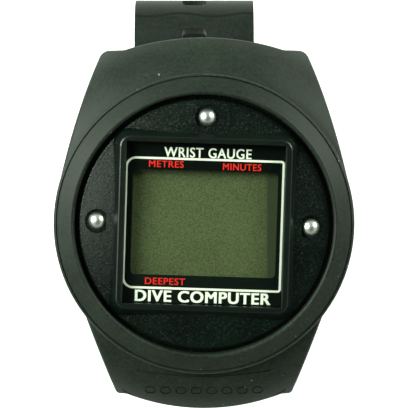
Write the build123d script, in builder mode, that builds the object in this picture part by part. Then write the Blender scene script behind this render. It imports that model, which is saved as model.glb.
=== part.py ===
"""A wrist-worn dive computer: a round sealed capsule in a rubber wrist boot, on a threaded rubber strap.

The origin is at the centre of the wrist face, which is the strap's inner face under the case. +Z points
out of the display, +Y to twelve o'clock and +X to three o'clock. The unbuckled strap curls round under
the case and the object stands on the flat foot of its long arm. Heights named "..._z" are on that Z axis.
"""

import os
from math import cos, pi, radians, sin

from build123d import *

os.makedirs("parts", exist_ok=True)

# Driving dimensions, in millimetres and degrees
rim_radius = 34.0
opening_radius = 29.2
face_radius = 28.5
capsule_radius = 30.5
capsule_turn = -1.8  # the capsule sits a little turned in its boot
wrist_height = 60.0  # from the foot up to the wrist face
strap_width = 28.0
strap_thickness = 3.0
strap_shift = -2.3  # the strap lies to one side in its wide tunnels
gap = 0.2  # clearance between fixed neighbours

# Heights on the Z axis
channel_z = strap_thickness + gap
floor_z = 5.0
cup_top_z = 14.0
shoulder_z = 18.6
lip_z = 22.9
face_z = 21.5
frame_z = 23.3
board_z = 11.2
board_top_z = 12.2
lcd_top_z = 18.4
ledge_z = 19.8
mask_z = 20.1
lens_z = 20.5
lens_top_z = 22.5

wrist = Plane.XY
section = Plane.XZ
dial = Plane(
    origin=(0, 0, 0),
    x_dir=(cos(radians(capsule_turn)), sin(radians(capsule_turn)), 0),
    z_dir=(0, 0, 1),
)


# ---------------------------------------------------------------- wrist boot
# One rubber moulding: a rim that grips the capsule, and two lobes that end in lugs with the strap's
# tunnels between them. The top of the lobes is a dome that falls away from the rim.
boot_low_z = -3.0
upper_tangent = 12.0  # degrees above three o'clock where the upper lobe leaves the rim
lower_corner = -37.0  # degrees where the lower lobe comes out from under the rim
lug_y = 39.6
upper_lug_x = 23.5
lower_lug_x = 20.2
upper_bridge = (18.3, 42.45)  # half width and reach of the bulge over the upper tunnel
lower_bridge = (17.8, 42.85)
upper_lug_corner = 2.5
lower_lug_corner = 1.2
dome_flat = (31.0, 19.5)
dome_middle = (39.6, 15.9)
dome_foot = (46.8, 6.5)
underside_radius = 227.0
underside_z = 0.3
floor_hole = 20.0
tunnel_half = 18.0
upper_bar = (31.0, 37.0)
lower_bar = (-30.0, -26.0)
bar_low_z = -2.8
bridge_blend = 2.5
relief_depth = 0.16
skyline_radius = 0.9

leave = Vector(cos(radians(upper_tangent)), sin(radians(upper_tangent))) * rim_radius
meet = Vector(cos(radians(lower_corner)), sin(radians(lower_corner))) * rim_radius


def dome_profile(drop):
    """Half section of the dome over the lobes, lowered by drop."""
    with BuildSketch(section) as profile:
        with BuildLine():
            Line((0, dome_flat[1] - drop), (dome_flat[0], dome_flat[1] - drop))
            ThreePointArc(
                (dome_flat[0], dome_flat[1] - drop),
                (dome_middle[0], dome_middle[1] - drop),
                (dome_foot[0], dome_foot[1] - drop),
            )
            Polyline(
                (dome_foot[0], dome_foot[1] - drop),
                (dome_foot[0], 2 * boot_low_z - drop),
                (0, 2 * boot_low_z - drop),
                (0, dome_flat[1] - drop),
            )
        make_face()
    return profile.sketch


with BuildPart() as reliefs:
    # The crease above the lower bridge, the short folds where the bridge comes out from behind the lugs and
    # a row of shallow grip rings, as cutters that reach just under the dome's skin
    with BuildSketch(wrist.offset(boot_low_z)):
        with BuildLine():
            crease = ThreePointArc((-15.2, -33.4), (0, -34.7), (15.2, -33.4))
        trace(crease, line_width=0.35)
        with BuildLine() as folds:
            Line((18.8, -38.4), (16.2, -39.95))
            mirror(about=Plane.YZ)
        trace(folds.line, line_width=0.5)
        with Locations((0, -38.2)):
            with GridLocations(3.5, 1, 8, 1):
                SlotOverall(2.5, 1.8)
                SlotOverall(1.9, 1.2, mode=Mode.SUBTRACT)
    extrude(amount=30)
    lowered = revolve(dome_profile(relief_depth), axis=Axis.Z, mode=Mode.SUBTRACT)

with BuildPart() as wrist_boot:
    with BuildSketch(wrist.offset(boot_low_z)):
        with BuildLine() as outline:
            CenterArc((0, 0), rim_radius, lower_corner, upper_tangent - lower_corner)
            TangentArc(
                leave,
                (upper_lug_x, lug_y),
                tangent=(-sin(radians(upper_tangent)), cos(radians(upper_tangent))),
            )
            Line((upper_lug_x, lug_y), (upper_bridge[0], lug_y))
            Polyline(meet, (lower_lug_x, -lug_y), (lower_bridge[0], -lug_y))
            mirror(about=Plane.YZ)
            ThreePointArc(
                (upper_bridge[0], lug_y), (0, upper_bridge[1]), (-upper_bridge[0], lug_y)
            )
            ThreePointArc(
                (lower_bridge[0], -lug_y), (0, -lower_bridge[1]), (-lower_bridge[0], -lug_y)
            )
        make_face()
    extrude(amount=30)
    lug_corners = wrist_boot.edges().filter_by(Axis.Z).filter_by(
        lambda e: abs(e.center().X) > 19 and abs(e.center().Y) > lug_y - 0.1
    )
    fillet(lug_corners.filter_by(lambda e: e.center().Y > 0), upper_lug_corner)
    fillet(lug_corners.filter_by(lambda e: e.center().Y < 0), lower_lug_corner)
    bridge_corners = wrist_boot.edges().filter_by(Axis.Z).filter_by(
        lambda e: abs(abs(e.center().X) - upper_bridge[0]) < 0.1 and e.center().Y > lug_y - 0.1
    )
    fillet(bridge_corners, bridge_blend)
    revolve(dome_profile(0), axis=Axis.Z, mode=Mode.INTERSECT)
    skyline = wrist_boot.edges().filter_by(GeomType.BSPLINE)
    fillet(skyline, skyline_radius)
    # the rim
    with BuildSketch(section):
        with BuildLine():
            Polyline(
                (20.0, boot_low_z),
                (rim_radius, boot_low_z),
                (rim_radius, 20.0),
            )
            ThreePointArc((rim_radius, 20.0), (33.84, 20.45), (33.45, 20.65))
            Polyline((33.45, 20.65), (33.3, 20.45), (33.1, 20.85), (30.0, lip_z - 0.05))
            ThreePointArc((30.0, lip_z - 0.05), (29.45, lip_z - 0.12), (opening_radius, lip_z - 0.6))
            Polyline(
                (opening_radius, lip_z - 0.6),
                (opening_radius, floor_z),
                (20.0, floor_z),
                (20.0, boot_low_z),
            )
        make_face()
    revolve(axis=Axis.Z)
    # the concave underside that lies along the forearm
    with Locations((0, 0, underside_z - underside_radius)):
        Cylinder(underside_radius, 120, rotation=(0, 90, 0), mode=Mode.SUBTRACT)
    # the pocket for the capsule, under the lip, and the hole in the floor
    with BuildSketch(section):
        with BuildLine():
            Polyline(
                (0, boot_low_z - 2),
                (floor_hole, boot_low_z - 2),
                (floor_hole, floor_z),
                (capsule_radius + gap, floor_z),
                (capsule_radius + gap, shoulder_z + gap),
                (opening_radius, shoulder_z + gap),
                (opening_radius, lip_z + 5),
                (0, lip_z + 5),
                close=True,
            )
        make_face()
    revolve(axis=Axis.Z, mode=Mode.SUBTRACT)
    # the strap's channel, open to the wrist, and the bar that closes each tunnel
    with BuildSketch(wrist.offset(boot_low_z - 2)):
        Rectangle(2 * tunnel_half, 120)
    extrude(amount=channel_z - boot_low_z + 2, mode=Mode.SUBTRACT)
    for near, far in (upper_bar, lower_bar):
        with BuildSketch(wrist.offset(bar_low_z)):
            with Locations((0, (near + far) / 2)):
                Rectangle(2 * tunnel_half + 2, far - near)
        extrude(amount=-gap - bar_low_z)
    add(reliefs.part, mode=Mode.SUBTRACT)
wrist_boot.part.label = "wrist_boot"
export_step(wrist_boot.part, "parts/wrist_boot.step")


# ---------------------------------------------------------------- capsule shells
wall = 2.0
cup_bore = capsule_radius - wall
joint_rib = 0.8
joint_height = 1.2
cover_bore = 26.3
service_bore = 15.0
collar_radius = 18.6
collar_top_z = 9.6
flange_radius = 18.4
flange_z = 6.2
service_screw_radius = 16.8
board_radius = 24.5
board_post_radius = 21.6
board_post_angles = (60, 125, 235, 305)
sensor_y = -23.2
frame_foot = (42.2, 42.6)
frame_ridge = 38.5
frame_corner = 2.3
frame_round = 0.5
window_size = (35.8, 36.4)
view_size = (32.7, 23.8)
view_centre = (0.05, 0.15)
contact_radius = 24.1
contact_angles = (180, 90, 0)
contact_head = 1.95
contact_well = 0.7
contact_z = face_z - contact_well  # the underside of each domed head
contact_rise = 1.15
contact_ball = (contact_head**2 + contact_rise**2) / (2 * contact_rise)
well_radius = 2.75
well_flat = 2.1
face_crown = 176.0  # the face is a shallow dome
face_edge_z = face_z - 0.55
face_crown_z = face_edge_z + face_crown - (face_crown**2 - face_radius**2) ** 0.5

with BuildPart() as housing_cup:
    # the lower case: a floor with the service bore, a wall with a joint rib, and board posts
    with BuildSketch(dial.offset(floor_z)):
        Circle(capsule_radius)
    extrude(amount=cup_top_z - floor_z)
    chamfer(housing_cup.faces().sort_by(Axis.Z)[0].outer_wire().edges(), 0.8)
    with BuildSketch(dial.offset(floor_z + wall)):
        Circle(cup_bore)
    extrude(amount=20, mode=Mode.SUBTRACT)
    with BuildSketch(dial.offset(cup_top_z)):
        Circle(cup_bore + joint_rib)
        Circle(cup_bore, mode=Mode.SUBTRACT)
    extrude(amount=joint_height)
    with BuildSketch(dial.offset(floor_z + wall)):
        Circle(collar_radius)
    extrude(amount=collar_top_z - floor_z - wall)
    with BuildSketch(dial.offset(floor_z + wall)):
        for angle in board_post_angles:
            with Locations(Vector(board_post_radius, 0).rotate(Axis.Z, angle)):
                Circle(2.0)
    extrude(amount=board_z - floor_z - wall)
    with BuildSketch(dial.offset(floor_z + wall)):
        with Locations((0, sensor_y)):
            Circle(3.6)
    extrude(amount=0.8)
    # bores: service cover, board screws, pressure sensor
    with BuildSketch(dial.offset(floor_z)):
        Circle(service_bore)
    extrude(amount=8, mode=Mode.SUBTRACT)
    with BuildSketch(dial.offset(floor_z)):
        Circle(flange_radius + 0.1)
    extrude(amount=flange_z - floor_z, mode=Mode.SUBTRACT)
    with BuildSketch(dial.offset(flange_z)):
        with PolarLocations(service_screw_radius, 4, start_angle=45):
            Circle(0.7)
    extrude(amount=2.6, mode=Mode.SUBTRACT)
    with BuildSketch(dial.offset(board_z - 3.0)):
        for angle in board_post_angles:
            with Locations(Vector(board_post_radius, 0).rotate(Axis.Z, angle)):
                Circle(0.7)
    extrude(amount=3.0, mode=Mode.SUBTRACT)
    with BuildSketch(dial.offset(floor_z)):
        with Locations((0, sensor_y)):
            Circle(2.0)
    extrude(amount=4, mode=Mode.SUBTRACT)
    with BuildSketch(dial.offset(floor_z)):
        with Locations((0, sensor_y)):
            Circle(2.7)
    extrude(amount=0.6, mode=Mode.SUBTRACT)
housing_cup.part.label = "housing_cup"
export_step(housing_cup.part, "parts/housing_cup.step")

with BuildPart() as face_cover:
    # the upper case: shoulder, face disc and the raised square window frame
    with BuildSketch(dial.offset(cup_top_z)):
        Circle(capsule_radius)
    extrude(amount=shoulder_z - cup_top_z)
    fillet(face_cover.faces().sort_by(Axis.Z)[-1].edges(), 0.5)
    with BuildSketch(section):
        with BuildLine():
            Polyline((0, face_z), (0, shoulder_z), (face_radius, shoulder_z), (face_radius, face_edge_z))
            RadiusArc((face_radius, face_edge_z), (0, face_crown_z), -face_crown)
            Line((0, face_crown_z), (0, face_z))
        make_face()
    revolve(axis=Axis.Z)
    face_rim = face_cover.edges().filter_by(GeomType.CIRCLE)
    fillet(face_rim.filter_by(lambda e: abs(e.radius - face_radius) < 0.01).sort_by(Axis.Z)[-1], 0.8)
    with BuildSketch(dial.offset(face_z - 0.5)):
        RectangleRounded(frame_foot[0], frame_foot[1], frame_corner + 1.8)
    with BuildSketch(dial.offset(frame_z)):
        RectangleRounded(frame_ridge, frame_ridge + 0.2, frame_corner)
    loft()
    fillet(face_cover.faces().sort_by(Axis.Z)[-1].outer_wire().edges(), frame_round)
    # the window opening, its small chamfer and its ledge
    with BuildSketch(dial.offset(frame_z - 0.3)):
        Rectangle(*window_size)
    with BuildSketch(dial.offset(frame_z)):
        Rectangle(window_size[0] + 0.5, window_size[1] + 0.5)
    loft(mode=Mode.SUBTRACT)
    with BuildSketch(dial.offset(ledge_z)):
        Rectangle(*window_size)
    extrude(amount=5, mode=Mode.SUBTRACT)
    with BuildSketch(dial.offset(lcd_top_z - 1)):
        with Locations(view_centre):
            RectangleRounded(view_size[0] + 0.8, view_size[1] + 0.8, 1.2)
    extrude(amount=5, mode=Mode.SUBTRACT)
    # the cavity for the joint rib and the works
    with BuildSketch(dial.offset(cup_top_z)):
        Circle(cup_bore + joint_rib + 0.1)
    extrude(amount=joint_height + gap, mode=Mode.SUBTRACT)
    with BuildSketch(dial.offset(cup_top_z)):
        Circle(cover_bore)
    extrude(amount=lcd_top_z - cup_top_z, mode=Mode.SUBTRACT)
    # a D-shaped well and a sealed bore for each water contact
    for angle in contact_angles:
        spot = Vector(contact_radius, 0).rotate(Axis.Z, angle)
        with BuildSketch(dial.offset(face_z - contact_well)):
            with Locations(Location((spot.X, spot.Y, 0), (0, 0, angle))):
                Circle(well_radius)
                with Locations((-well_flat - 2, 0)):
                    Rectangle(4, 8, mode=Mode.SUBTRACT)
        extrude(amount=3, mode=Mode.SUBTRACT)
        with BuildSketch(dial.offset(cup_top_z)):
            with Locations((spot.X, spot.Y)):
                Circle(0.95)
        extrude(amount=8, mode=Mode.SUBTRACT)
        with BuildSketch(dial.offset(lcd_top_z - 2)):
            with Locations((spot.X, spot.Y)):
                Circle(1.9)
        extrude(amount=3.1, mode=Mode.SUBTRACT)
face_cover.part.label = "face_cover"
export_step(face_cover.part, "parts/face_cover.step")


# ---------------------------------------------------------------- window, mask and display
with BuildPart() as window_gasket:
    with BuildSketch(dial.offset(ledge_z)):
        Rectangle(window_size[0] - 0.2, window_size[1] - 0.2)
        with Locations(view_centre):
            RectangleRounded(view_size[0] + 1.2, view_size[1] + 1.2, 1.4, mode=Mode.SUBTRACT)
    extrude(amount=mask_z - ledge_z)
window_gasket.part.label = "window_gasket"
export_step(window_gasket.part, "parts/window_gasket.step")

with BuildPart() as display_mask:
    with BuildSketch(dial.offset(mask_z)):
        Rectangle(window_size[0] - 0.2, window_size[1] - 0.2)
        with Locations(view_centre):
            RectangleRounded(view_size[0], view_size[1], 1.0, mode=Mode.SUBTRACT)
    extrude(amount=lens_z - mask_z)
display_mask.part.label = "display_mask"
export_step(display_mask.part, "parts/display_mask.step")

with BuildPart() as window_lens:
    with BuildSketch(dial.offset(lens_z)):
        RectangleRounded(window_size[0] - 0.1, window_size[1] - 0.1, 0.2)
    extrude(amount=lens_top_z - lens_z)
    chamfer(window_lens.faces().sort_by(Axis.Z)[-1].edges(), 0.15)
window_lens.part.label = "window_lens"
export_step(window_lens.part, "parts/window_lens.step")

lcd_size = (37.6, 28.0)
lcd_thickness = 1.1
reflector_size = (37.0, 22.6)
holder_size = (40.6, 30.8)
holder_z = 15.4
zebra_size = (32.0, 1.6)
zebra_y = 12.7

with BuildPart() as lcd_panel:
    with BuildSketch(dial.offset(lcd_top_z - lcd_thickness)):
        Rectangle(*lcd_size)
    extrude(amount=lcd_thickness)
lcd_panel.part.label = "lcd_panel"
export_step(lcd_panel.part, "parts/lcd_panel.step")

with BuildPart() as lcd_reflector:
    with BuildSketch(dial.offset(lcd_top_z - lcd_thickness - 0.3)):
        Rectangle(*reflector_size)
    extrude(amount=0.3)
lcd_reflector.part.label = "lcd_reflector"
export_step(lcd_reflector.part, "parts/lcd_reflector.step")

with BuildPart() as lcd_holder:
    # an open frame on the board that carries the display's edge and guides the connector strips
    with BuildSketch(dial.offset(board_top_z)):
        RectangleRounded(holder_size[0], holder_size[1], 1.5)
        Rectangle(reflector_size[0] - 1.6, zebra_y * 2 + zebra_size[1] + 0.4, mode=Mode.SUBTRACT)
    extrude(amount=lcd_top_z - board_top_z)
    with BuildSketch(dial.offset(lcd_top_z - lcd_thickness - 0.3)):
        Rectangle(lcd_size[0] + 0.3, lcd_size[1] + 0.3)
    extrude(amount=5, mode=Mode.SUBTRACT)
    # two cross bars that keep the connector strips upright
    with BuildSketch(dial.offset(board_top_z + 1.6)):
        for side in (-1, 1):
            with Locations((0, side * (zebra_y - zebra_size[1] / 2 - 0.7))):
                Rectangle(reflector_size[0], 1.0)
    extrude(amount=2.6)
lcd_holder.part.label = "lcd_holder"
export_step(lcd_holder.part, "parts/lcd_holder.step")

with BuildPart() as zebra_strips:
    with BuildSketch(dial.offset(board_top_z)):
        for side in (-1, 1):
            with Locations((0, side * zebra_y)):
                Rectangle(*zebra_size)
    extrude(amount=lcd_top_z - lcd_thickness - board_top_z)
zebra_strips.part.label = "zebra_strips"
export_step(zebra_strips.part, "parts/zebra_strips.step")


# ---------------------------------------------------------------- circuit board and its parts
chip_size = (9.0, 9.0, 1.2)
chip_spot = (-7.0, 2.5)
crystal_spot = (5.0, 6.0)
capacitor_size = (2.0, 1.25, 0.9)

with BuildPart() as circuit_board:
    with BuildSketch(dial.offset(board_z)):
        Circle(board_radius)
        for angle in board_post_angles:
            with Locations(Vector(board_post_radius, 0).rotate(Axis.Z, angle)):
                Circle(0.8, mode=Mode.SUBTRACT)
        with Locations((19, 0), (-19, 0)):
            Circle(0.6, mode=Mode.SUBTRACT)
    extrude(amount=board_top_z - board_z)
circuit_board.part.label = "circuit_board"
export_step(circuit_board.part, "parts/circuit_board.step")

with BuildPart() as board_screws:
    for angle in board_post_angles:
        spot = Vector(board_post_radius, 0).rotate(Axis.Z, angle)
        with BuildSketch(dial.offset(board_top_z)):
            with Locations((spot.X, spot.Y)):
                Circle(1.4)
        extrude(amount=0.9)
        with BuildSketch(dial.offset(board_top_z - 3.6)):
            with Locations((spot.X, spot.Y)):
                Circle(0.7)
        extrude(amount=3.6)
        with BuildSketch(dial.offset(board_top_z + 0.4)):
            with Locations((spot.X, spot.Y)):
                Rectangle(1.6, 0.35)
                Rectangle(0.35, 1.6)
        extrude(amount=2, mode=Mode.SUBTRACT)
board_screws.part.label = "board_screws"
export_step(board_screws.part, "parts/board_screws.step")

with BuildPart() as controller_chip:
    with BuildSketch(dial.offset(board_top_z)):
        with Locations(chip_spot):
            Rectangle(chip_size[0], chip_size[1])
    extrude(amount=chip_size[2])
    chamfer(controller_chip.faces().sort_by(Axis.Z)[-1].edges(), 0.15)
    with BuildSketch(dial.offset(board_top_z)):
        with Locations(chip_spot):
            with GridLocations(1.0, chip_size[1] + 0.7, 8, 2):
                Rectangle(0.4, 0.8)
            with GridLocations(chip_size[0] + 0.7, 1.0, 2, 8):
                Rectangle(0.8, 0.4)
    extrude(amount=0.3)
controller_chip.part.label = "controller_chip"
export_step(controller_chip.part, "parts/controller_chip.step")

with BuildPart() as quartz_crystal:
    with Locations(dial.location * Location((crystal_spot[0], crystal_spot[1], board_top_z + 1.0))):
        Cylinder(1.0, 6.0, rotation=(0, 90, 0))
    with Locations(dial.location * Location((crystal_spot[0] - 3.6, crystal_spot[1], board_top_z + 0.6))):
        with GridLocations(1, 0.9, 1, 2):
            Box(1.4, 0.3, 1.2)
quartz_crystal.part.label = "quartz_crystal"
export_step(quartz_crystal.part, "parts/quartz_crystal.step")

with BuildPart() as board_capacitors:
    with BuildSketch(dial.offset(board_top_z)):
        with Locations((9, -4)):
            with GridLocations(3.4, 3.0, 3, 2):
                Rectangle(capacitor_size[0], capacitor_size[1])
    extrude(amount=capacitor_size[2])
board_capacitors.part.label = "board_capacitors"
export_step(board_capacitors.part, "parts/board_capacitors.step")


# ---------------------------------------------------------------- water contacts
with BuildPart() as seal_ring:
    Torus(1.4, 0.47)

with BuildPart() as contact_seals:
    with Locations(dial.offset(lcd_top_z + 0.6)):
        with PolarLocations(contact_radius, 3, start_angle=0, angular_range=180, endpoint=True):
            add(seal_ring.part)
contact_seals.part.label = "contact_seals"
export_step(contact_seals.part, "parts/contact_seals.step")

for name, angle in zip(("left", "top", "right"), contact_angles):
    spot = Vector(contact_radius, 0).rotate(Axis.Z, angle)
    with BuildPart() as stud:
        # a domed head in the well and a shank through the cover to the blade
        with Locations((0, 0, contact_z + contact_rise - contact_ball)):
            Sphere(contact_ball)
        split(bisect_by=Plane.XY.offset(contact_z), keep=Keep.TOP)
        with BuildSketch(Plane.XY.offset(16.2)):
            Circle(0.93)
        extrude(amount=contact_z - 16.2)
    with BuildPart() as contact_stud:
        with Locations(dial.location * Location((spot.X, spot.Y, 0))):
            add(stud.part)
    contact_stud.part.label = "contact_stud_" + name
    export_step(contact_stud.part, "parts/contact_stud_" + name + ".step")

with BuildPart() as contact_blades:
    # one bent spring blade from each shank down to the board
    for angle in contact_angles:
        upright = Plane(dial.location * Location((0, 0, 0), (0, 0, angle)) * Plane.XZ.location)
        with BuildSketch(upright):
            with BuildLine():
                blade = Polyline((24.6, 16.05), (22.6, 15.6), (23.9, 13.0), (22.2, board_top_z + 0.15))
            trace(blade, line_width=0.3)
            with Locations((22.8, board_top_z + 0.15)):
                Rectangle(2.2, 0.3)
        extrude(amount=0.9, both=True)
contact_blades.part.label = "contact_blades"
export_step(contact_blades.part, "parts/contact_blades.step")


# ---------------------------------------------------------------- pressure sensor
with BuildPart() as pressure_sensor:
    with BuildSketch(dial.offset(floor_z + wall + 0.8)):
        with Locations((0, sensor_y)):
            Circle(3.4)
    extrude(amount=board_z - floor_z - wall - 0.8)
    with BuildSketch(dial.offset(floor_z + 1.6)):
        with Locations((0, sensor_y)):
            Circle(1.2)
    extrude(amount=1.2)
pressure_sensor.part.label = "pressure_sensor"
export_step(pressure_sensor.part, "parts/pressure_sensor.step")

with BuildPart() as sensor_seal:
    with Locations(dial.location * Location((0, sensor_y, floor_z + wall + 0.4))):
        Torus(1.6, 0.4)
sensor_seal.part.label = "sensor_seal"
export_step(sensor_seal.part, "parts/sensor_seal.step")

with BuildPart() as sensor_cap:
    with BuildSketch(dial.offset(floor_z)):
        with Locations((0, sensor_y)):
            Circle(2.65)
            with PolarLocations(1.5, 6):
                Circle(0.35, mode=Mode.SUBTRACT)
            Circle(0.35, mode=Mode.SUBTRACT)
    extrude(amount=0.6)
sensor_cap.part.label = "sensor_cap"
export_step(sensor_cap.part, "parts/sensor_cap.step")


# ---------------------------------------------------------------- battery and rear cover
cell_radius = 10.0
cell_z = 6.9
cell_thickness = 3.2

with BuildPart() as rear_cover:
    # a flange with a coin slot and four countersinks, and a grooved spigot round the battery
    with BuildSketch(dial.offset(floor_z)):
        Circle(flange_radius)
    extrude(amount=flange_z - floor_z)
    with BuildSketch(dial.offset(flange_z)):
        Circle(service_bore - 0.05)
        Circle(cell_radius + 1.4, mode=Mode.SUBTRACT)
    extrude(amount=2.8)
    with BuildSketch(dial.offset(flange_z + 0.8)):
        Circle(service_bore + 1)
        Circle(service_bore - 1.0, mode=Mode.SUBTRACT)
    extrude(amount=1.1, mode=Mode.SUBTRACT)
    with BuildSketch(dial.offset(floor_z)):
        with PolarLocations(service_screw_radius, 4, start_angle=45):
            Circle(1.35)
    extrude(amount=0.7, mode=Mode.SUBTRACT)
    with BuildSketch(dial.offset(floor_z)):
        with PolarLocations(service_screw_radius, 4, start_angle=45):
            Circle(0.8)
    extrude(amount=2, mode=Mode.SUBTRACT)
    with BuildSketch(dial.offset(floor_z)):
        SlotOverall(14, 2.2)
    extrude(amount=0.6, mode=Mode.SUBTRACT)
rear_cover.part.label = "rear_cover"
export_step(rear_cover.part, "parts/rear_cover.step")

with BuildPart() as rear_cover_seal:
    with Locations(dial.location * Location((0, 0, flange_z + 1.35))):
        Torus(service_bore - 0.5, 0.5)
rear_cover_seal.part.label = "rear_cover_seal"
export_step(rear_cover_seal.part, "parts/rear_cover_seal.step")

with BuildPart() as rear_cover_screws:
    with BuildSketch(dial.offset(floor_z + 0.05)):
        with PolarLocations(service_screw_radius, 4, start_angle=45):
            Circle(1.3)
    extrude(amount=0.65)
    with BuildSketch(dial.offset(floor_z + 0.05)):
        with PolarLocations(service_screw_radius, 4, start_angle=45):
            Circle(0.7)
    extrude(amount=3.5)
    with BuildSketch(dial.offset(floor_z)):
        with PolarLocations(service_screw_radius, 4, start_angle=45):
            Rectangle(1.5, 0.35)
            Rectangle(0.35, 1.5)
    extrude(amount=0.4, mode=Mode.SUBTRACT)
rear_cover_screws.part.label = "rear_cover_screws"
export_step(rear_cover_screws.part, "parts/rear_cover_screws.step")

with BuildPart() as battery_cell:
    with BuildSketch(dial.offset(cell_z)):
        Circle(cell_radius - 0.8)
    extrude(amount=0.4)
    with BuildSketch(dial.offset(cell_z + 0.4)):
        Circle(cell_radius)
    extrude(amount=cell_thickness - 0.4)
    fillet(battery_cell.faces().sort_by(Axis.Z)[-1].edges(), 0.4)
battery_cell.part.label = "battery_cell"
export_step(battery_cell.part, "parts/battery_cell.step")

with BuildPart() as battery_clip_positive:
    # a sprung bridge between the board and the cell's flat top
    with BuildSketch(Plane(dial.location * Plane.XZ.location)):
        with BuildLine():
            spring = Polyline((-7.0, board_z - 0.15), (-4.0, board_z - 0.15), (0.0, 10.28), (3.0, 10.25))
        trace(spring, line_width=0.3)
    extrude(amount=2.0, both=True)
battery_clip_positive.part.label = "battery_clip_positive"
export_step(battery_clip_positive.part, "parts/battery_clip_positive.step")

with BuildPart() as battery_clip_negative:
    # a blade that reaches down beside the cell and under its negative cap
    with BuildSketch(Plane(dial.location * Plane.XZ.location)):
        with BuildLine():
            hook = Polyline(
                (7.6, board_z - 0.15),
                (10.7, board_z - 0.15),
                (10.7, cell_z - 0.17),
                (4.0, cell_z - 0.17),
            )
        trace(hook, line_width=0.3)
    extrude(amount=2.0, both=True)
battery_clip_negative.part.label = "battery_clip_negative"
export_step(battery_clip_negative.part, "parts/battery_clip_negative.step")


# ---------------------------------------------------------------- strap
# One rubber band threaded through the boot. It flexes where it leaves each tunnel, so it is made as a
# centre and two arms that turn about a line across the strap at each of those places.
half = strap_thickness / 2
upper_bend = 8.5
upper_start_y = 42.3
lower_bend = 7.5
lower_start_y = -31.2
flex_z = -9.0
flex_clear = 0.5
upper_flex_y = upper_start_y + upper_bend
lower_flex_y = lower_start_y - lower_bend
slot_size = (5.6, 3.4)
slot_pitch = 10.0
first_slot = 0.5  # along the strap, past the start of the upper bend
foot_bend = 34.0
foot_end_y = -20.0
arm_lean = 16.0
arm_length = 24.0
side_view = Plane.YZ.offset(strap_shift)

with BuildPart() as strap_centre:
    with BuildSketch(side_view):
        with BuildLine() as centre_path:
            Line((lower_flex_y, flex_z), (lower_flex_y, half - lower_bend))
            RadiusArc((lower_flex_y, half - lower_bend), (lower_start_y, half), lower_bend)
            Line((lower_start_y, half), (upper_start_y, half))
            RadiusArc((upper_start_y, half), (upper_flex_y, half - upper_bend), upper_bend)
            Line((upper_flex_y, half - upper_bend), (upper_flex_y, flex_z))
        trace(line_width=strap_thickness)
        with Locations((upper_flex_y, flex_z), (lower_flex_y, flex_z)):
            Circle(half + flex_clear, mode=Mode.SUBTRACT)
    extrude(amount=strap_width / 2, both=True)
    for travel in (first_slot, first_slot + slot_pitch):
        turn = travel / upper_bend
        hole = Plane(
            origin=(
                strap_shift,
                upper_start_y + upper_bend * sin(turn),
                half - upper_bend + upper_bend * cos(turn),
            ),
            x_dir=(1, 0, 0),
            z_dir=(0, sin(turn), cos(turn)),
        )
        with BuildSketch(hole):
            RectangleRounded(slot_size[0], slot_size[1], 0.9)
        extrude(amount=4, both=True, mode=Mode.SUBTRACT)
strap_centre.part.label = "strap_centre"
export_step(strap_centre.part, "parts/strap_centre.step")

foot_centre_y = upper_flex_y - foot_bend
foot_line_z = half - wrist_height
leg_end_z = foot_line_z + foot_bend
leg_run = half - upper_bend - leg_end_z
bend_run = foot_bend * pi / 2
tip_run = foot_centre_y - foot_end_y

with BuildPart() as strap_upper_arm:
    with BuildSketch(side_view):
        with BuildLine():
            Line((upper_flex_y, flex_z), (upper_flex_y, leg_end_z))
            RadiusArc((upper_flex_y, leg_end_z), (foot_centre_y, foot_line_z), foot_bend)
            Line((foot_centre_y, foot_line_z), (foot_end_y, foot_line_z))
        trace(line_width=strap_thickness)
        with Locations((upper_flex_y, flex_z)):
            Circle(half)
    extrude(amount=strap_width / 2, both=True)
    # the pointed tip
    with BuildSketch(Plane.XY.offset(-wrist_height - 1)):
        with BuildLine():
            ThreePointArc(
                (strap_shift - strap_width / 2 - 1, foot_end_y + 13),
                (strap_shift, foot_end_y),
                (strap_shift + strap_width / 2 + 1, foot_end_y + 13),
            )
            Polyline(
                (strap_shift + strap_width / 2 + 1, foot_end_y + 13),
                (strap_shift + strap_width / 2 + 1, foot_end_y - 3),
                (strap_shift - strap_width / 2 - 1, foot_end_y - 3),
                (strap_shift - strap_width / 2 - 1, foot_end_y + 13),
            )
        make_face()
    extrude(amount=strap_thickness + 2, mode=Mode.SUBTRACT)
    # the row of slots carries on round the leg and along the foot
    slot_start = first_slot + 2 * slot_pitch - upper_bend * pi / 2
    for number in range(9):
        travel = slot_start + number * slot_pitch
        if travel < leg_run:
            spot = (strap_shift, upper_flex_y, half - upper_bend - travel)
            outward = (0, 1, 0)
        elif travel < leg_run + bend_run:
            turn = (travel - leg_run) / foot_bend
            spot = (strap_shift, foot_centre_y + foot_bend * cos(turn), leg_end_z - foot_bend * sin(turn))
            outward = (0, cos(turn), -sin(turn))
        else:
            spot = (strap_shift, foot_centre_y - (travel - leg_run - bend_run), foot_line_z)
            outward = (0, 0, -1)
        with BuildSketch(Plane(origin=spot, x_dir=(1, 0, 0), z_dir=outward)):
            RectangleRounded(slot_size[0], slot_size[1], 0.9)
        extrude(amount=4, both=True, mode=Mode.SUBTRACT)
strap_upper_arm.part.label = "strap_upper_arm"
export_step(strap_upper_arm.part, "parts/strap_upper_arm.step")

# the lower arm leans in under the case; its local X runs down the arm and its local Y faces outward
lean = Plane(
    origin=(strap_shift, lower_flex_y, flex_z),
    x_dir=(0, sin(radians(arm_lean)), -cos(radians(arm_lean))),
    z_dir=(-1, 0, 0),
)
bar_radius = 1.1
eye_radius = 2.9
eye_gap = 8.0
frame_inside = 29.0
frame_limb = 2.6
frame_length = 19.0
bar_length = frame_inside + 2 * frame_limb - 0.8
keeper_length = 7.0
keeper_at = 6.0
keeper_wall = 1.8
keeper_travel = 6.0

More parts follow.
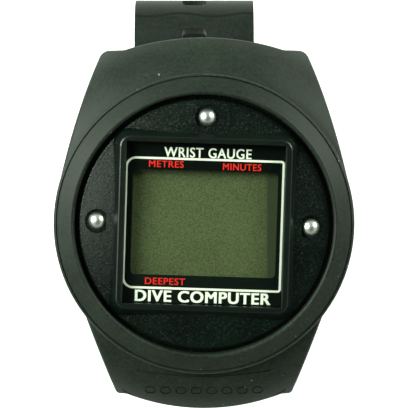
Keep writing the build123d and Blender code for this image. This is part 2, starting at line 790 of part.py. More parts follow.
with BuildPart() as strap_lower_arm:
    with BuildSketch(lean):
        with BuildLine():
            Line((0, 0), (arm_length, 0))
        trace(line_width=strap_thickness)
        Circle(half)
        with Locations((arm_length, 0)):
            Circle(eye_radius)
            Circle(bar_radius + 0.02, mode=Mode.SUBTRACT)
    extrude(amount=strap_width / 2, both=True)
    # the gap in the eye for the tongue
    with BuildSketch(lean):
        with Locations((arm_length + 0.4, 0)):
            Rectangle(2 * eye_radius + 1.6, 10)
    extrude(amount=eye_gap / 2, both=True, mode=Mode.SUBTRACT)
strap_lower_arm.part.label = "strap_lower_arm"
export_step(strap_lower_arm.part, "parts/strap_lower_arm.step")

with BuildPart() as buckle_bar:
    with BuildSketch(lean):
        with Locations((arm_length, 0)):
            Circle(bar_radius)
    extrude(amount=bar_length / 2, both=True)
buckle_bar.part.label = "buckle_bar"
export_step(buckle_bar.part, "parts/buckle_bar.step")

with BuildPart() as buckle_frame:
    # two side limbs bored for the bar and a crossbar with a seat for the tongue
    with BuildSketch(lean):
        with Locations((arm_length + frame_length / 2, 0)):
            SlotOverall(frame_length + 2 * frame_limb, frame_limb + 1.8)
    extrude(amount=frame_inside / 2 + frame_limb, both=True)
    with BuildSketch(lean):
        with Locations((arm_length + frame_length / 2 - 5, 0)):
            Rectangle(frame_length + 5, 12)
    extrude(amount=frame_inside / 2, both=True, mode=Mode.SUBTRACT)
    with BuildSketch(lean):
        with Locations((arm_length, 0)):
            Circle(bar_radius + 0.05)
    extrude(amount=bar_length / 2 + 0.2, both=True, mode=Mode.SUBTRACT)
    with BuildSketch(lean):
        with Locations((arm_length + frame_length, frame_limb / 2 + 1.5)):
            Rectangle(12, 2.4)
    extrude(amount=2.2, both=True, mode=Mode.SUBTRACT)
buckle_frame.part.label = "buckle_frame"
export_step(buckle_frame.part, "parts/buckle_frame.step")

with BuildPart() as buckle_tongue:
    # a knuckle on the bar and a flat prong that rests on the crossbar
    with BuildSketch(lean):
        with Locations((arm_length, 0)):
            Circle(2.2)
        with BuildLine():
            prong = Polyline((arm_length, 1.7), (arm_length + 4, 2.1), (arm_length + frame_length + 1.6, 2.1))
        trace(prong, line_width=1.0)
        with Locations((arm_length, 0)):
            Circle(bar_radius + 0.05, mode=Mode.SUBTRACT)
    extrude(amount=1.6, both=True)
buckle_tongue.part.label = "buckle_tongue"
export_step(buckle_tongue.part, "parts/buckle_tongue.step")

with BuildPart() as strap_keeper:
    # a square loop that slides along the lower arm
    with BuildSketch(lean):
        with Locations((keeper_at + keeper_length / 2, 1.6)):
            Rectangle(keeper_length, strap_thickness + 3.3 + 2 * keeper_wall)
    extrude(amount=strap_width / 2 + keeper_wall + 0.3, both=True)
    fillet(strap_keeper.edges().sort_by(SortBy.LENGTH)[-4:], 1.4)
    with BuildSketch(lean):
        with Locations((keeper_at + keeper_length / 2, 1.6)):
            Rectangle(keeper_length + 2, strap_thickness + 3.3)
    extrude(amount=strap_width / 2 + 0.3, both=True, mode=Mode.SUBTRACT)
strap_keeper.part.label = "strap_keeper"
export_step(strap_keeper.part, "parts/strap_keeper.step")
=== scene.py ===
import bpy
import numpy as np
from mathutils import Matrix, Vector


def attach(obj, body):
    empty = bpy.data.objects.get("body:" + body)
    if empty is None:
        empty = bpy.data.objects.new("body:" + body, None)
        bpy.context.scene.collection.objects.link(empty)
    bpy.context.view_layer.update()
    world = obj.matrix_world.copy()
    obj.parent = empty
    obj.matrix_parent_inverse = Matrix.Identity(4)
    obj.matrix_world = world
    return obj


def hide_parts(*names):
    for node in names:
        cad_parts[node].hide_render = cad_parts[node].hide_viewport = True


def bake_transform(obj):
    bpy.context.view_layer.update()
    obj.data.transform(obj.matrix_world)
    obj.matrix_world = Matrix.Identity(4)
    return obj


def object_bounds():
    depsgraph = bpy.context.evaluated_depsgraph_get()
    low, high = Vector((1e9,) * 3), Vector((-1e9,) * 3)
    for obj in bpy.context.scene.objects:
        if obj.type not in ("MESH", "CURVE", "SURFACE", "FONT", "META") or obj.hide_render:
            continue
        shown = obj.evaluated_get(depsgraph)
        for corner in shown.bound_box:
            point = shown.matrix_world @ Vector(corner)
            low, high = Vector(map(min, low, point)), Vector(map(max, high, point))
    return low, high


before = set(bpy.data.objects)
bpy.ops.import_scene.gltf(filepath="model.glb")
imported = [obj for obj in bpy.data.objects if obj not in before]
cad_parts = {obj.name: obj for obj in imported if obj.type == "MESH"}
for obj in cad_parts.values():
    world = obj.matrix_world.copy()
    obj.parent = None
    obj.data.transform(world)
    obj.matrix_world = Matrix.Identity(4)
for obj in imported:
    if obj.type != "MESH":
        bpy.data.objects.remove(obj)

cad_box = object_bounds()
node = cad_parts


# ---------------------------------------------------------------- wrist boot
# One moulding of firm rubber: the rim that grips the capsule, the two lobes and the strap's tunnels.
# It is pressed in a blasted steel mould, so it has a fine matt skin of uneven tone, with a few specks
# of dust on it. The capsule snaps in under the lip.
class Wire:
    """A socket in a material. Arithmetic on it adds Math nodes, and add() makes any other node."""

    def __init__(self, tree, socket=None):
        self.tree = tree
        self.socket = socket

    def add(self, kind, settings=None, inputs=None, out=0):
        """A node of this kind: its settings, then values or Wires for its inputs. Returns one output."""
        made = self.tree.nodes.new(kind)
        for name, value in (settings or {}).items():
            setattr(made, name, value)
        for name, value in (inputs or {}).items():
            if isinstance(value, Wire):
                self.tree.links.new(value.socket, made.inputs[name])
            else:
                made.inputs[name].default_value = value
        return Wire(self.tree, made.outputs[out])

    def math(self, operation, *values):
        """A Math node on these values or Wires."""
        return self.add("ShaderNodeMath", {"operation": operation}, dict(enumerate(values)))

    def __add__(self, other):
        return self.math("ADD", self, other)

    def __sub__(self, other):
        return self.math("SUBTRACT", self, other)

    def __rsub__(self, other):
        return self.math("SUBTRACT", other, self)

    def __mul__(self, other):
        return self.math("MULTIPLY", self, other)

    def __abs__(self):
        return self.math("ABSOLUTE", self)

    def smooth(self, low, high):
        """0 below low, 1 above high, and a smooth step between them."""
        limits = {"Value": self, "From Min": low, "From Max": high}
        return self.add("ShaderNodeMapRange", {"interpolation_type": "SMOOTHSTEP"}, limits)

    def blend(self, low, high):
        """The colour low where this Wire is 0, and high where it is 1. Each is a colour or a Wire."""
        low = (*low, 1.0) if isinstance(low, tuple) else low
        high = (*high, 1.0) if isinstance(high, tuple) else high
        return self.add("ShaderNodeMix", {"data_type": "RGBA"}, {0: self, 6: low, 7: high}, out=2)

    def noise(self, scale, detail=3.0, roughness=0.55):
        """Noise on this vector, with that many patches to the millimetre."""
        values = {"Vector": self, "Scale": scale, "Detail": detail, "Roughness": roughness}
        return self.add("ShaderNodeTexNoise", None, values)


def finish(name, **constants):
    """A new material, its place vector in millimetres, and a function that links its shader's inputs."""
    made = bpy.data.materials.new(name)
    made.use_nodes = True
    tree = made.node_tree
    shader = next(n for n in tree.nodes if n.type == "BSDF_PRINCIPLED")
    for key, value in constants.items():
        shader.inputs[key.replace("_", " ")].default_value = value
    start = Wire(tree)
    where = start.add("ShaderNodeTexCoord", out=3)
    place = where.add("ShaderNodeVectorMath", {"operation": "SCALE"}, {0: where, 3: 1000.0})

    def feed(**links):
        for key, value in links.items():
            tree.links.new(value.socket, shader.inputs[key.replace("_", " ")])

    return made, place, feed


def bump(height, depth):
    """A normal from a height Wire of 0 to 1 that stands for that depth in millimetres."""
    values = {"Height": height, "Distance": depth / 1000, "Strength": 1.0}
    return height.add("ShaderNodeBump", None, values)


def paint(piece, material):
    """Gives the piece this one material."""
    piece.data.materials.clear()
    piece.data.materials.append(material)


boot_rubber, place, feed = finish("moulded_boot_rubber", Specular_IOR_Level=0.3)
patches = place.noise(0.09, 3.0)
skin = place.noise(1.5, 4.0, 0.8)
dust = place.noise(0.9, 1.0).smooth(0.76, 0.79) * place.noise(0.11, 1.0).smooth(0.45, 0.6)
tone = (patches * 0.3 + skin * 0.7).smooth(0.34, 0.66)
feed(
    Base_Color=dust.blend(tone.blend((0.004, 0.0075, 0.005), (0.018, 0.027, 0.018)), (0.22, 0.24, 0.20)),
    Roughness=patches * 0.14 + skin * 0.3 + 0.28,
    Normal=bump(skin, 0.06),
)
paint(node["wrist_boot"], boot_rubber)


# ---------------------------------------------------------------- capsule
# The sealed capsule's upper shell carries the raised window frame, and the lower cup the works.
# Both are moulded in glass-filled nylon; the disc round the window has a spark-eroded grain and the
# frame is smoother. They are welded together and can't be undone.
case_plastic, place, feed = finish("grained_case_nylon", Specular_IOR_Level=0.5)
grit = place.noise(1.9, 3.0, 0.85)
cloud = place.noise(0.12, 2.0)
height = place.add("ShaderNodeSeparateXYZ", None, {"Vector": place}, out=2)
on_disc = 1 - height.smooth(22.0, 22.4)
sparkle = place.noise(2.1, 1.0).smooth(0.58, 0.7) * on_disc
tone = (cloud * 0.4 + grit * 0.6).smooth(0.35, 0.65)
feed(
    Base_Color=tone.blend((0.0006, 0.0026, 0.0018), (0.0035, 0.0085, 0.006)),
    Roughness=0.31 - on_disc * 0.11 + sparkle * 0.24 + grit * (on_disc * 0.12 + 0.02),
    Normal=bump(grit * (on_disc * 0.85 + 0.15), 0.05),
)
paint(node["face_cover"], case_plastic)

cup_plastic, place, feed = finish("satin_cup_nylon", Specular_IOR_Level=0.45)
grit = place.noise(4.0, 3.0)
feed(
    Base_Color=grit.blend((0.013, 0.018, 0.016), (0.026, 0.033, 0.030)),
    Roughness=grit * 0.2 + 0.35,
    Normal=bump(grit, 0.02),
)
for name in ("housing_cup", "rear_cover", "sensor_cap"):
    paint(node[name], cup_plastic)


# ---------------------------------------------------------------- window
# A flat plate of hardened glass, bonded on a thin gasket over the printed mask.
# It is left plain, with a little haze. Only its outer faces are glossy.
window_glass = bpy.data.materials.new("window_glass")
window_glass.use_nodes = True
tree = window_glass.node_tree
tree.nodes.remove(next(n for n in tree.nodes if n.type == "BSDF_PRINCIPLED"))
start = Wire(tree)
where = start.add("ShaderNodeTexCoord", out=3)
haze = where.noise(300.0, 2.0)
clear = start.add("ShaderNodeBsdfTransparent", None, {"Color": (0.93, 0.95, 0.93, 1.0)})
gloss = start.add("ShaderNodeBsdfAnisotropic", None, {"Color": (1.0, 1.0, 1.0, 1.0), "Roughness": 0.04})
edge = start.add("ShaderNodeFresnel", None, {"IOR": 1.45})
inside = start.add("ShaderNodeNewGeometry", out=6)
mirror = (edge * 0.75 + haze * 0.004) * (1 - inside)
mixed = start.add("ShaderNodeMixShader", None, {0: mirror, 1: clear, 2: gloss})
surface = next(n for n in tree.nodes if n.type == "OUTPUT_MATERIAL").inputs["Surface"]
tree.links.new(mixed.socket, surface)
paint(node["window_lens"], window_glass)

gasket_foam, place, feed = finish("gasket_foam", Specular_IOR_Level=0.2)
cells = place.noise(6.0, 2.0)
feed(Base_Color=cells.blend((0.006, 0.008, 0.007), (0.018, 0.021, 0.020)), Roughness=cells * 0.2 + 0.7)
paint(node["window_gasket"], gasket_foam)


# ---------------------------------------------------------------- printed mask
# A black printed film under the window, with a cream frame line and labels.
# The line runs round the display, and the words stand above and below it.
turn = np.radians(-1.8)
mask_top = 0.0205
line_box = (-0.0181, 0.0178, -0.01500, 0.01482)  # left, right, low and high
line_radii = [0.0008, 0.0024, 0.0024, 0.0008]
line_width = 0.0005
line_rise = 0.00002

mask_black, place, feed = finish("mask_black", Specular_IOR_Level=0.4)
ink = place.noise(5.0, 3.0)
feed(Base_Color=ink.blend((0.0012, 0.0035, 0.0026), (0.0025, 0.006, 0.0045)), Roughness=ink * 0.1 + 0.3)
paint(node["display_mask"], mask_black)

# Both inks carry a faint emission: a painted glow that makes the print brighter than its lighting gives.
glowing_cream_ink, place, feed = finish(
    "glowing_cream_ink", Specular_IOR_Level=0.3, Emission_Color=(0.9, 1.0, 0.85, 1), Emission_Strength=0.1
)
ink = place.noise(9.0, 3.0)
feed(Base_Color=ink.blend((0.80, 0.82, 0.72), (0.90, 0.92, 0.82)), Roughness=ink * 0.2 + 0.45)
glowing_red_ink, place, feed = finish(
    "glowing_red_ink", Specular_IOR_Level=0.3, Emission_Color=(1.0, 0.03, 0.01, 1), Emission_Strength=0.1
)
ink = place.noise(9.0, 3.0)
feed(Base_Color=ink.blend((0.72, 0.012, 0.006), (0.85, 0.022, 0.012)), Roughness=ink * 0.2 + 0.45)


def new_piece(name, points, faces, material, body, smooth=True):
    """A mesh piece from points in the row frame, with its material, riding on a body."""
    mesh = bpy.data.meshes.new(name)
    mesh.from_pydata(np.asarray(points).tolist(), [], np.asarray(faces).tolist())
    mesh.validate()
    mesh.shade_smooth() if smooth else mesh.shade_flat()
    piece = bpy.data.objects.new(name, mesh)
    bpy.context.scene.collection.objects.link(piece)
    paint(piece, material)
    if body:
        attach(piece, body)
    return piece


def on_dial(u, v, height):
    """Dial coordinates in metres turned into the row frame: x = u cos t - v sin t, y = u sin t + v cos t."""
    x, y = u * np.cos(turn) - v * np.sin(turn), u * np.sin(turn) + v * np.cos(turn)
    return np.stack([x, y, height + 0 * u], -1)


def frame_line(left, right, low, high, radii, width, height):
    """A printed line round a rectangle. Corner k of radius r is c + r (cos a, sin a), a over a quarter turn;
    the line lies between that outline and the same one moved inwards by its width."""
    turns = np.linspace(0, np.pi / 2, 13)
    corners = [(right, high, 0), (left, high, 1), (left, low, 2), (right, low, 3)]
    rings = []
    for inset in (0.0, width):
        u, v = [], []
        for (x, y, quarter), r in zip(corners, radii):
            a = turns + quarter * np.pi / 2
            cx = x + r * (1 if x == left else -1)
            cy = y + r * (1 if y == low else -1)
            u.append(cx + (r - inset) * np.cos(a))
            v.append(cy + (r - inset) * np.sin(a))
        rings.append(on_dial(np.concatenate(u), np.concatenate(v), height))
    outer, inner = rings
    count = len(outer)
    k = np.arange(count)
    faces = np.stack([k, (k + 1) % count, (k + 1) % count + count, k + count], -1)
    return np.concatenate([outer, inner]), faces


points, faces = frame_line(*line_box, line_radii, line_width, mask_top + line_rise)
new_piece("mask_frame_line", points, faces, glowing_cream_ink, "case", smooth=False)


def lettering(name, words, u, v, width, tall, weight, material):
    """Printed words, centred at (u, v) on the dial and scaled to this width and cap height. The weight, in
    metres, thickens the strokes: the words are laid down four times, moved by (+-w, +-w / 2)."""
    curve = bpy.data.curves.new(name, "FONT")
    curve.body = words
    curve.align_x = "CENTER"
    curve.align_y = "CENTER"
    curve.space_character = 1.1
    curve.resolution_u = 4
    text = bpy.data.objects.new(name + "_text", curve)
    bpy.context.scene.collection.objects.link(text)
    bpy.context.view_layer.update()
    mesh = bpy.data.meshes.new_from_object(text)
    bpy.data.objects.remove(text)
    co = np.zeros(len(mesh.vertices) * 3)
    mesh.vertices.foreach_get("co", co)
    co = co.reshape(-1, 3)
    low, high = co.min(0), co.max(0)
    co = (co - (low + high) / 2) / (high - low).clip(1e-9)
    across, up = u + co[:, 0] * width, v + co[:, 1] * tall
    layers = [
        on_dial(across + a * weight, up + b * weight / 2, mask_top + rise / 1e6)
        for a, b, rise in ((-1, -1, 30), (1, -1, 32), (-1, 1, 34), (1, 1, 36))
    ]
    faces = [[i + k * len(co) for i in face.vertices] for k in range(4) for face in mesh.polygons]
    bpy.data.meshes.remove(mesh)
    printed = bpy.data.meshes.new(name)
    printed.from_pydata(np.concatenate(layers).tolist(), [], faces)
    piece = bpy.data.objects.new(name, printed)
    bpy.context.scene.collection.objects.link(piece)
    paint(piece, material)
    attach(piece, "case")
    return piece


lettering("title_print", "WRIST GAUGE", 0.0004, 0.01605, 0.0196, 0.0022, 0.00006, glowing_cream_ink)
lettering("lower_print", "DIVE COMPUTER", 0.0002, -0.01655, 0.0304, 0.0025, 0.00013, glowing_cream_ink)
lettering("depth_print", "METRES", -0.0089, 0.0133, 0.0078, 0.0015, 0.00003, glowing_red_ink)
lettering("dive_time_print", "MINUTES", 0.0082, 0.0131, 0.0086, 0.0015, 0.00003, glowing_red_ink)
lettering("max_depth_print", "DEEPEST", -0.0084, -0.0132, 0.0090, 0.0015, 0.00003, glowing_red_ink)


# ---------------------------------------------------------------- display
# A blank liquid crystal panel: two glass plates with a grey-green polariser, over a foil reflector.
# It rests in a frame on the board and is pressed up behind the mask.
lcd_green, place, feed = finish("lcd_polariser", Specular_IOR_Level=0.25)
fibre = place.noise(2.4, 2.0, 0.9)
tint = place.noise(1.7, 2.0, 0.9)
cloud = place.noise(0.06, 2.0)
greens = tint.smooth(0.42, 0.58).blend((0.038, 0.068, 0.024), (0.092, 0.086, 0.040))
across = place.add("ShaderNodeSeparateXYZ", None, {"Vector": place}, out=0)
light = (fibre * 0.8 + cloud * 0.2).smooth(0.37, 0.63)
panel = light.blend(greens, (0.120, 0.144, 0.068))
# The panel's colour is darkened in a band along its right edge, from 13.9 to 14.7 mm across: painted shade at
# the edge of the recess.
feed(
    Base_Color=across.smooth(13.9, 14.7).blend(panel, (0.050, 0.062, 0.032)),
    Roughness=fibre * 0.2 + 0.4,
    Normal=bump(fibre, 0.01),
)
paint(node["lcd_panel"], lcd_green)

foil, place, feed = finish("reflector_foil", Metallic=0.6)
grain = place.noise(3.0, 3.0)
feed(Base_Color=grain.blend((0.3, 0.36, 0.25), (0.42, 0.48, 0.36)), Roughness=grain * 0.2 + 0.4)
paint(node["lcd_reflector"], foil)

holder_plastic, place, feed = finish("holder_plastic")
grain = place.noise(2.0, 3.0)
feed(Base_Color=grain.blend((0.045, 0.05, 0.048), (0.07, 0.075, 0.072)), Roughness=grain * 0.2 + 0.4)
paint(node["lcd_holder"], holder_plastic)

strip_rubber, place, feed = finish("strip_rubber")
stripes = {"Vector": place, "Scale": 1.6, "Distortion": 0.1}
layers = place.add("ShaderNodeTexWave", {"bands_direction": "X"}, stripes, out=1)
feed(Base_Color=layers.blend((0.015, 0.015, 0.015), (0.45, 0.16, 0.09)), Roughness=layers * 0.2 + 0.5)
paint(node["zebra_strips"], strip_rubber)


# ---------------------------------------------------------------- board and its parts
# A round green board screwed to four posts in the cup. The controller, a watch crystal and six
# ceramic capacitors are soldered on its upper face under the display.
board_laminate, place, feed = finish("board_laminate", Coat_Weight=0.3)
tracks = place.add("ShaderNodeTexVoronoi", {"feature": "DISTANCE_TO_EDGE"}, {"Vector": place, "Scale": 0.45})
copper = 1 - tracks.smooth(0.03, 0.06)
feed(Base_Color=copper.blend((0.010, 0.085, 0.030), (0.03, 0.19, 0.07)), Roughness=copper * 0.1 + 0.3)
paint(node["circuit_board"], board_laminate)

chip_epoxy, place, feed = finish("chip_epoxy")
grain = place.noise(6.0, 3.0)
feed(Base_Color=grain.blend((0.008, 0.008, 0.009), (0.02, 0.02, 0.021)), Roughness=grain * 0.2 + 0.5)
paint(node["controller_chip"], chip_epoxy)

ceramic, place, feed = finish("capacitor_ceramic")
grain = place.noise(4.0, 2.0)
feed(Base_Color=grain.blend((0.30, 0.19, 0.10), (0.42, 0.29, 0.17)), Roughness=grain * 0.2 + 0.4)
paint(node["board_capacitors"], ceramic)

can_steel, place, feed = finish("drawn_can_steel", Metallic=1.0)
draw = place.add("ShaderNodeMapping", None, {"Vector": place, "Scale": (1.0, 1.0, 12.0)}).noise(1.2, 4.0)
feed(Base_Color=draw.blend((0.46, 0.47, 0.48), (0.66, 0.67, 0.68)), Roughness=draw * 0.25 + 0.2)
for name in ("quartz_crystal", "pressure_sensor", "battery_cell", "board_screws", "rear_cover_screws"):
    paint(node[name], can_steel)

gilt, place, feed = finish("gilt_spring_brass", Metallic=1.0)
grain = place.noise(3.0, 3.0)
feed(Base_Color=grain.blend((0.70, 0.48, 0.18), (0.86, 0.64, 0.30)), Roughness=grain * 0.2 + 0.2)
for name in ("contact_blades", "battery_clip_positive", "battery_clip_negative"):
    paint(node[name], gilt)

seal_rubber, place, feed = finish("seal_rubber")
grain = place.noise(5.0, 2.0)
feed(Base_Color=grain.blend((0.006, 0.006, 0.006), (0.016, 0.016, 0.016)), Roughness=grain * 0.2 + 0.35)
for name in ("contact_seals", "sensor_seal", "rear_cover_seal"):
    paint(node[name], seal_rubber)


# ---------------------------------------------------------------- water contacts
# Three domed studs of polished stainless steel that switch the computer on when they get wet.
# Each is pushed through a sealed bore in the shell and stands in its own shallow well.
stud_steel, place, feed = finish("polished_stud_steel", Metallic=1.0)
scuff = place.noise(6.0, 3.0)
feed(Base_Color=scuff.blend((0.84, 0.85, 0.82), (0.96, 0.96, 0.93)), Roughness=scuff * 0.16 + 0.28)
for name in ("contact_stud_left", "contact_stud_top", "contact_stud_right"):
    paint(node[name], stud_steel)


# ---------------------------------------------------------------- strap
# One band of softer rubber with a row of slots, threaded through both tunnels and under the case.
# It bends over the joint at each tunnel, so the visible band is two lengths that meet under the case.
# A free strap keeps the set of its last buckling: there is a wavy crease where it turns down, and its colour
# is darkened along the crease as painted shade.
strap_thick = 0.003
strap_x = -0.0023
upper_flat, upper_bend, upper_leg = 0.0423, 0.0085, 0.0175
foot_bend, foot_flat = 0.034, 0.0368
lower_flat, lower_bend = 0.0312, 0.0075
lean_in = np.radians(16.0)
eye_reach = 0.024
lower_flex_y, flex_z = -0.0387, -0.009
first_slot, slot_pitch, slot_count = 0.0005, 0.010, 11
crease_y = 48.3  # millimetres
swing, period, peak = 0.42, 15.2, -5.4
slot_x, slot_y, slot_z = -2.3, 42.8, 1.0  # millimetres, the middle of the first slot

strap_rubber, place, feed = finish("strap_rubber", Specular_IOR_Level=0.25)
patches = place.noise(0.07, 3.0)
skin = place.noise(1.6, 4.0, 0.8)
across = place.add("ShaderNodeSeparateXYZ", None, {"Vector": place}, out=0)
along = place.add("ShaderNodeSeparateXYZ", None, {"Vector": place}, out=1)
upright = place.add("ShaderNodeSeparateXYZ", None, {"Vector": place}, out=2)
phase = (across - peak) * (2 * np.pi / period)
wave = phase.math("COSINE", phase) * swing
# The crease mask bumps and roughens the skin like a real crease, and darkens the colour along it: painted
# shade.
crease_and_shade = 1 - abs(along - wave - crease_y).smooth(0.1, 0.5)
crease_and_shade = crease_and_shade * upright.smooth(-6.0, -4.0)
# Painted shade inside the first slot: the strap colour is darkened on its walls around (slot_x, slot_y,
# slot_z).
slot_painted_shade = (1 - abs(across - slot_x).smooth(2.7, 3.0)) * (1 - abs(upright - slot_z).smooth(1.2, 1.7))
slot_painted_shade = slot_painted_shade * (1 - abs(along - slot_y).smooth(1.8, 2.2))
tone = (patches * 0.3 + skin * 0.7).smooth(0.34, 0.66) - crease_and_shade - slot_painted_shade
feed(
    Base_Color=tone.blend((0.003, 0.006, 0.004), (0.015, 0.021, 0.016)),
    Roughness=patches * 0.16 + skin * 0.2 + crease_and_shade * 0.3 + 0.34,
    Normal=bump(skin * 0.3 - crease_and_shade * 0.5, 0.08),
)


def strap_path(runs):
    """A line in the side view, as (y, z) every 0.2 mm of its length s. Each run is ("line", length) or
    ("arc", length, radius, sense), starting at a point and a heading h: a line adds s (cos h, sin h), and on
    an arc h turns evenly by sense * s / radius."""
    (y, z), heading = runs[0]
    total = [np.array([[y, z, heading]])]
    for kind, length, *bend in runs[1:]:
        s = np.linspace(0, length, max(3, int(round(length / 0.0002))) + 1)[1:]
        y, z, h = total[-1][-1]
        if kind == "line":
            total.append(np.stack([y + s * np.cos(h), z + s * np.sin(h), h + 0 * s], -1))
        else:
            radius, sense = bend
            a = h + sense * s / radius
            turned = np.stack([np.sin(a) - np.sin(h), np.cos(h) - np.cos(a)], -1) * sense * radius
            total.append(np.column_stack([y + turned[:, 0], z + turned[:, 1], a]))
    return np.concatenate(total)


def band(name, path, slots, width_at):
    """The strap's middle surface, P(u, s) = path(s) + (u * w(s), 0, 0), with u across and s along. The cells
    inside each slot are left out, and the slot's corners are drawn in to round them. Solidify and Bevel give
    the thickness and the soft edges."""
    steps = np.r_[0, np.cumsum(np.hypot(*np.diff(path[:, :2], axis=0).T))]
    end = steps[-1]
    half_long, half_wide, corner = 0.0017, 0.0028, 0.0009
    s = [np.linspace(0, end, int(end / 0.0016) + 1)]
    keep = np.ones(len(s[0]), bool)
    for middle in slots:
        keep &= abs(s[0] - middle) > half_long + 0.0004
        s.append(middle + np.array([-half_long, -half_long + corner, 0, half_long - corner, half_long]))
    s[0] = s[0][keep]
    s = np.sort(np.concatenate(s))
    side = np.array([0.0028, 0.0050, 0.0075, 0.0100, 0.0124, 0.0140])
    u = np.r_[-side[::-1], -(half_wide - corner), 0, half_wide - corner, side]
    U, S = np.meshgrid(u, s)
    scale = width_at(s, end)[:, None]
    for middle in slots:
        near_s, near_u = np.isclose(abs(S - middle), half_long), np.isclose(abs(U), half_wide)
        pull = np.where(near_s & near_u, corner * (1 - np.sqrt(0.5)), 0)
        U = U - np.sign(U) * pull
        S = S - np.sign(S - middle) * pull
    y, z = (np.interp(S, steps, path[:, k]) for k in (0, 1))
    points = np.stack([strap_x + U * scale, y, z], -1).reshape(-1, 3)
    rows, columns = U.shape
    grid = np.arange(rows * columns).reshape(rows, columns)
    quads = np.stack([grid[:-1, :-1], grid[:-1, 1:], grid[1:, 1:], grid[1:, :-1]], -1)
    mid_s, mid_u = (s[:-1] + s[1:]) / 2, (u[:-1] + u[1:]) / 2
    open_s = np.zeros(rows - 1, bool)
    for middle in slots:
        open_s |= abs(mid_s - middle) < half_long
    quads = quads[~(open_s[:, None] & (abs(mid_u) < half_wide)[None, :])]
    piece = new_piece(name, points, quads, strap_rubber, None)
    solid = piece.modifiers.new("thickness", "SOLIDIFY")
    solid.thickness = strap_thick
    solid.offset = 0
    solid.use_even_offset = True
    soft = piece.modifiers.new("soft_edges", "BEVEL")
    soft.width = 0.0006
    soft.segments = 3
    soft.limit_method = "ANGLE"
    soft.angle_limit = np.radians(50)
    soft.harden_normals = True
    return piece


def plain_width(s, end):
    """The full width all along."""
    return np.ones_like(s)


def tip_width(s, end):
    """The full width, then a rounded tip: w = sqrt(max(0.05, 1 - (1 - d / 11)^2.2)) within d < 11 mm of
    the end."""
    d = np.clip((end - s) / 0.011, 0.0, 1)
    return np.sqrt(np.clip(1 - (1 - d) ** 2.2, 0.05, 1))


upper_runs = [
    ((0.0, strap_thick / 2), 0.0),
    ("line", upper_flat),
    ("arc", upper_bend * np.pi / 2, upper_bend, -1),
    ("line", upper_leg),
    ("arc", foot_bend * np.pi / 2, foot_bend, -1),
    ("line", foot_flat),
]
upper_slots = upper_flat + first_slot + slot_pitch * np.arange(slot_count)
upper_band = band("upper_band", strap_path(upper_runs), list(upper_slots), tip_width)
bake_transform(upper_band)
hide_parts("strap_upper_arm", "strap_centre")

lower_runs = [
    ((0.0, strap_thick / 2), np.pi),
    ("line", lower_flat),
    ("arc", lower_bend * np.pi / 2, lower_bend, 1),
    ("line", 0.0020),
    ("arc", 0.002, 0.002 / lean_in, 1),
    ("line", 0.0199),
]
lower_band = band("lower_band", strap_path(lower_runs), [], plain_width)
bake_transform(lower_band)
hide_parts("strap_lower_arm")

# The lower band ends in an eye moulded round the buckle's bar, with a gap in the middle for the tongue.
# Section: r(a) = max(2.9, min(3.5 / |cos a|, 1.5 / |sin a|)) on the band's side and 2.9 mm elsewhere.
a = np.sort(np.r_[np.linspace(0, 2 * np.pi, 64, endpoint=False), np.pi - 0.4049, np.pi + 0.4049])
neck = np.minimum(0.0035 / abs(np.cos(a)).clip(1e-6), 0.0015 / abs(np.sin(a)).clip(1e-6))
outer = np.where(np.cos(a) < 0, np.maximum(0.0029, neck), 0.0029)
points, faces = [], []
for near, far in ((-0.014, -0.004), (0.004, 0.014)):
    for x, radius in ((near, outer), (far, outer), (far, 0.00112 + 0 * a), (near, 0.00112 + 0 * a)):
        down, out = radius * np.cos(a), radius * np.sin(a)
        y = lower_flex_y + (eye_reach + down) * np.sin(lean_in) - out * np.cos(lean_in)
        z = flex_z - (eye_reach + down) * np.cos(lean_in) - out * np.sin(lean_in)
        points.append(np.stack([strap_x + x + 0 * a, y, z], -1))
    first = (len(points) - 4) * len(a)
    k = np.arange(len(a))
    for ring in range(4):
        this, that = first + ring * len(a), first + (ring + 1) % 4 * len(a)
        faces.append(np.stack([this + k, that + k, that + (k + 1) % len(a), this + (k + 1) % len(a)], -1))
points, faces = np.concatenate(points), np.concatenate(faces)
strap_eyes = new_piece("strap_eyes", points, faces, strap_rubber, "lower_strap")
soft = strap_eyes.modifiers.new("soft_edges", "BEVEL")
soft.width = 0.0004
soft.segments = 3
soft.limit_method = "ANGLE"
soft.angle_limit = np.radians(50)
paint(node["strap_keeper"], strap_rubber)


# ---------------------------------------------------------------- buckle
# A pin buckle bent and cast in stainless steel: the frame turns on a bar through the strap's eye.
# The tongue turns on the same bar, in the gap of the eye.
buckle_steel, place, feed = finish("brushed_buckle_steel", Metallic=1.0)
drawn_out = place.add("ShaderNodeMapping", None, {"Vector": place, "Scale": (0.15, 3.0, 3.0)})
brush = drawn_out.noise(2.5, 4.0, 0.7)
feed(
    Base_Color=brush.blend((0.34, 0.35, 0.36), (0.56, 0.57, 0.58)),
    Roughness=brush * 0.25 + 0.2,
    Normal=bump(brush, 0.01),
)
for name in ("buckle_frame", "buckle_tongue", "buckle_bar"):
    paint(node[name], buckle_steel)


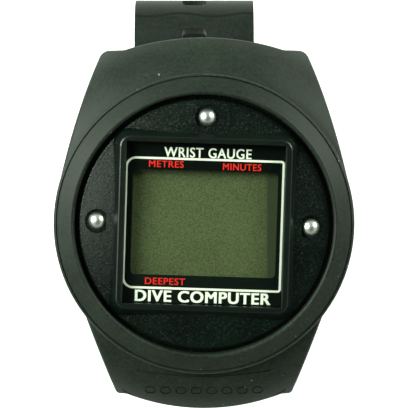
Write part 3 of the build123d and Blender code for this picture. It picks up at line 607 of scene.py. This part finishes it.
# ---------------------------------------------------------------- studio
# A pale floor under the strap's foot, a large soft key from the upper left, a small light on the dial
# and a weaker one from the right. The world is bright at its sides and dark overhead.
pale, place, feed = finish(
    "pale_floor", Roughness=0.9, Specular_IOR_Level=0.1, Emission_Color=(1, 1, 1, 1), Emission_Strength=0.6
)
grain = place.noise(0.02, 2.0)
feed(Base_Color=grain.blend((0.86, 0.87, 0.86), (0.90, 0.90, 0.89)))
floor_z = cad_box[0][2]
corners = [(x, y, floor_z) for x, y in ((-1.5, -1.5), (1.5, -1.5), (1.5, 1.5), (-1.5, 1.5))]
floor = new_piece("studio_floor", corners, [(0, 1, 2, 3)], pale, None, smooth=False)

bpy.context.scene.view_settings.view_transform = "Standard"
world = bpy.data.worlds.new("studio_world")
world.use_nodes = True
tree = world.node_tree
background = next(n for n in tree.nodes if n.type == "BACKGROUND")
sky = Wire(tree).add("ShaderNodeTexCoord", out=0)
sideways = sky.add("ShaderNodeSeparateXYZ", None, {"Vector": sky}, out=0)
rise = sky.add("ShaderNodeSeparateXYZ", None, {"Vector": sky}, out=2)
walls = (sideways * sideways).blend((0.27, 0.34, 0.27), (0.66, 0.76, 0.65))
tree.links.new(rise.smooth(0.55, 0.90).blend(walls, (0.010, 0.014, 0.011)).socket, background.inputs["Color"])
bpy.context.scene.world = world


def soft_light(name, position, aim, size, power):
    """A square area light of this size at a position, turned to shine on a point."""
    lamp = bpy.data.lights.new(name, "AREA")
    lamp.shape = "RECTANGLE"
    lamp.size, lamp.size_y = size
    lamp.energy = power
    lamp.color = (0.89, 1.0, 0.87)
    holder = bpy.data.objects.new(name, lamp)
    holder.location = position
    holder.rotation_euler = (Vector(aim) - Vector(position)).to_track_quat("-Z", "Y").to_euler()
    bpy.context.scene.collection.objects.link(holder)


soft_light("key_light", (-0.47, 0.20, 0.43), (0, 0, 0.01), (0.30, 0.30), 6.0)
soft_light("dial_light", (-0.25, 0.02, 0.42), (0, 0, 0.02), (0.12, 0.12), 0.18)
soft_light("second_light", (0.46, 0.30, 0.33), (0, 0, 0.01), (0.25, 0.25), 2.8)

aim = Vector((0.0000, 0.00455, 0.0206))
lean = np.radians(-2.0)
camera = bpy.data.cameras.new("camera")
camera.sensor_width = 36.0
camera.lens = 168.2
camera.clip_start = 0.01
camera_distance = 0.430
holder = bpy.data.objects.new("camera", camera)
holder.location = aim + camera_distance * Vector((0, -np.sin(lean), np.cos(lean)))
holder.rotation_euler = (lean, 0, 0)
bpy.context.scene.collection.objects.link(holder)
bpy.context.scene.camera = holder
